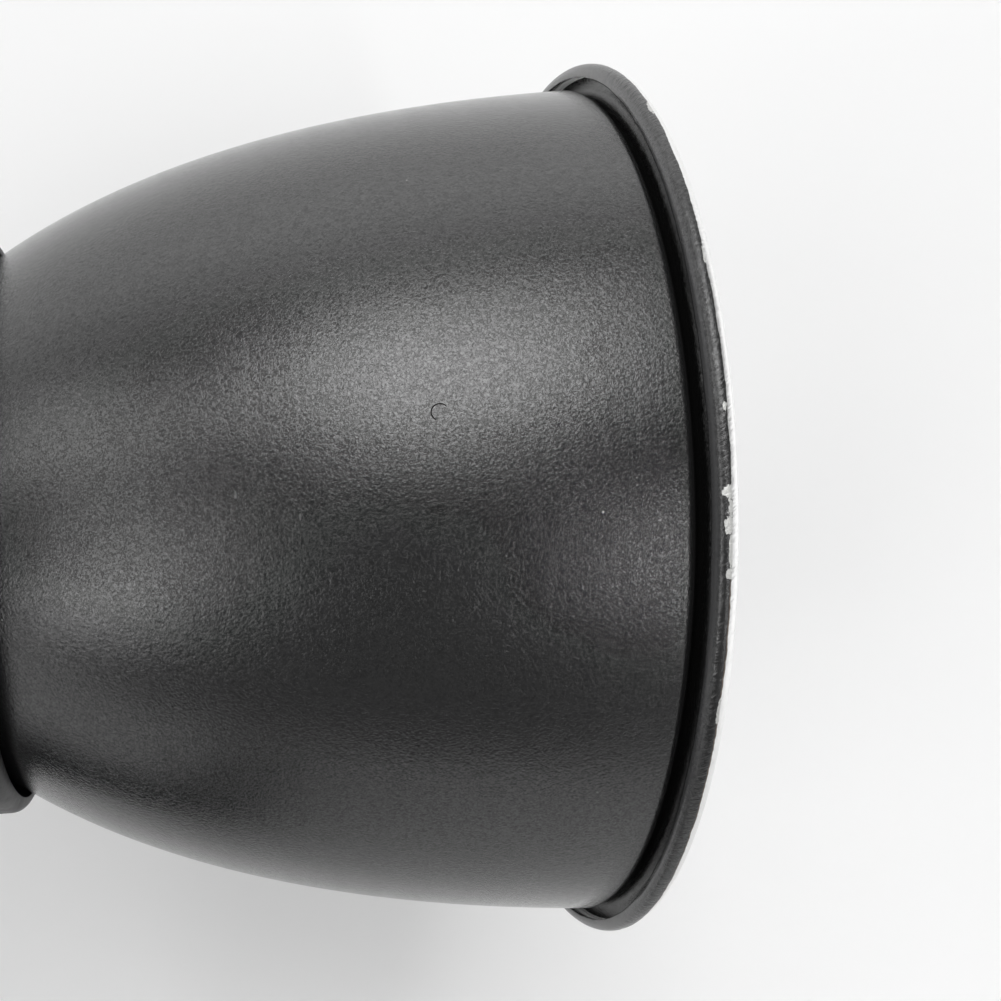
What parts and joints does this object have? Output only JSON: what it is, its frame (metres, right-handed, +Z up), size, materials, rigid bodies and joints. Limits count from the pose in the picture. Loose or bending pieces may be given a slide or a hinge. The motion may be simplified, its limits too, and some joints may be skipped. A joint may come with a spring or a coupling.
{
  "type": "flash bulb gun",
  "caption": "Battery flash gun for expendable bulbs: black bell reflector on a round lamp head, tilting on a ribbed battery handle with a slotted camera bar.",
  "frame": {"origin": "on the camera screw's axis, in the plane of the rubber pad that the camera's base rests on", "axes": "+X is where the lamp points, +Z up along the handle and the camera screw, +Y from the camera towards the handle"},
  "size_m": [0.1512, 0.186, 0.2952],
  "materials": {
    "reflector_paint": "black textured enamel outside, polished aluminium inside",
    "bright_aluminium": "turned and polished",
    "satin_aluminium": "satin",
    "black_moulding": "satin black moulding",
    "chrome_trim": "chromium plate",
    "nickel_steel": "nickel-plated steel",
    "brass": "plain brass",
    "phenolic": "brown phenolic",
    "grip_rubber": "ribbed black rubber",
    "bulb_glass": "lacquered clear glass",
    "foil": "crumpled foil",
    "red_lens": "translucent red",
    "cell_jacket": "plain grey jacket",
    "spring_steel": "music wire",
    "dial_face": "black with engraved scale",
    "anodised_black": "black anodised",
    "cast_black": "black enamelled light-alloy casting"
  },
  "bodies": {
    "handle": {"handle_tube": "anodised_black", "grip_sleeve": "grip_rubber", "grip_rings": "bright_aluminium", "battery_cells": "cell_jacket", "top_contact": "brass", "contact_insulator": "phenolic", "yoke": "cast_black", "pivot_bolt": "chrome_trim", "pivot_washers": "brass", "camera_bar": "anodised_black", "camera_pad": "grip_rubber", "bar_screws": "nickel_steel", "bar_clamp": "cast_black", "clamp_screw": "nickel_steel", "release_spring": "spring_steel"},
    "head": {"housing_front": "black_moulding", "housing_trim_ring": "bright_aluminium", "mounting_plate": "satin_aluminium", "housing_rear": "black_moulding", "housing_screws": "nickel_steel", "dial_plate": "dial_face", "dial_hub": "bright_aluminium", "contact_board": "phenolic", "capacitor": "satin_aluminium", "capacitor_clip": "nickel_steel", "board_resistor": "phenolic", "bus_wires": "brass", "switch_block": "phenolic", "lamp_lens": "red_lens", "lamp_bulb": "bulb_glass", "sync_block": "black_moulding", "sync_sleeves": "brass", "socket_shell": "brass", "socket_insulator": "phenolic", "socket_posts": "nickel_steel", "socket_screws": "nickel_steel", "tilt_tongue": "cast_black", "tongue_screws": "nickel_steel", "eject_spring": "spring_steel", "contact_spring": "spring_steel", "test_spring": "spring_steel"},
    "reflector": {"reflector_bell": "reflector_paint", "reflector_neck": "reflector_paint", "reflector_bayonet_ring": "brass"},
    "bulb": {"bulb_glass": "bulb_glass", "bulb_foil": "foil", "bulb_base": "brass", "bulb_contact": "brass"},
    "ejector": {"eject_rod": "phenolic", "eject_button": "bright_aluminium", "centre_contact": "brass"},
    "dial": {"dial_disc": "dial_face"},
    "test_key": {"test_button": "black_moulding"},
    "lock_knob": {"tilt_knob": "chrome_trim"},
    "release_key": {"release_button": "black_moulding"},
    "cap_carrier": {"cap_seal": "grip_rubber"},
    "cap": {"end_cap": "anodised_black", "battery_spring": "spring_steel"},
    "screw_carriage": {"screw_bush": "brass"},
    "thumb_screw": {"camera_screw": "chrome_trim"}
  },
  "joints": [
    {"name": "head_tilt", "type": "hinge", "parent": "handle", "child": "head", "pos_m": [0, 0.095, 0.126], "axis": [0, 1, 0], "range_deg": [-75, 15]},
    {"name": "lock_knob_turn", "type": "hinge", "parent": "handle", "child": "lock_knob", "pos_m": [0, 0.095, 0.126], "axis": [0, 1, 0], "range_deg": [0, 180]},
    {"name": "reflector_twist", "type": "hinge", "parent": "head", "child": "reflector", "pos_m": [0, 0.095, 0.186], "axis": [1, 0, 0], "range_deg": [0, 45]},
    {"name": "eject_push", "type": "slide", "parent": "head", "child": "ejector", "axis": [1, 0, 0], "range_m": [0, 0.005], "stiffness_N_per_m": 600, "springref_m": -0.002, "deforming": ["eject_spring", "contact_spring"]},
    {"name": "bulb_out", "type": "slide", "parent": "head", "child": "bulb", "axis": [1, 0, 0], "range_m": [0, 0.005]},
    {"name": "dial_turn", "type": "hinge", "parent": "head", "child": "dial", "pos_m": [0, 0.095, 0.186], "axis": [1, 0, 0], "continuous": true},
    {"name": "test_press", "type": "slide", "parent": "head", "child": "test_key", "axis": [0, 0, -1], "range_m": [0, 0.002], "stiffness_N_per_m": 500, "springref_m": -0.001, "deforming": ["test_spring"]},
    {"name": "release_press", "type": "slide", "parent": "handle", "child": "release_key", "axis": [1, 0, 0], "range_m": [0, 0.002], "stiffness_N_per_m": 500, "springref_m": -0.001, "deforming": ["release_spring"]},
    {"name": "cap_travel", "type": "slide", "parent": "handle", "child": "cap_carrier", "axis": [0, 0, -1], "range_m": [0, 0.0075]},
    {"name": "cap_turn", "type": "hinge", "parent": "cap_carrier", "child": "cap", "pos_m": [0, 0.095, -0.03], "axis": [0, 0, -1], "range_deg": [0, 1800], "deforming": ["battery_spring"]},
    {"name": "screw_slide", "type": "slide", "parent": "handle", "child": "screw_carriage", "axis": [0, 1, 0], "range_m": [-0.016, 0.024]},
    {"name": "screw_turn", "type": "hinge", "parent": "screw_carriage", "child": "thumb_screw", "pos_m": [0, 0, 0], "axis": [0, 0, 1], "continuous": true}
  ],
  "couplings": [
    {"joint": "bulb_out", "follows": "eject_push", "ratio": 1},
    {"joint": "cap_travel", "follows": "cap_turn", "m_per_rad": 0.00023873}
  ]
}
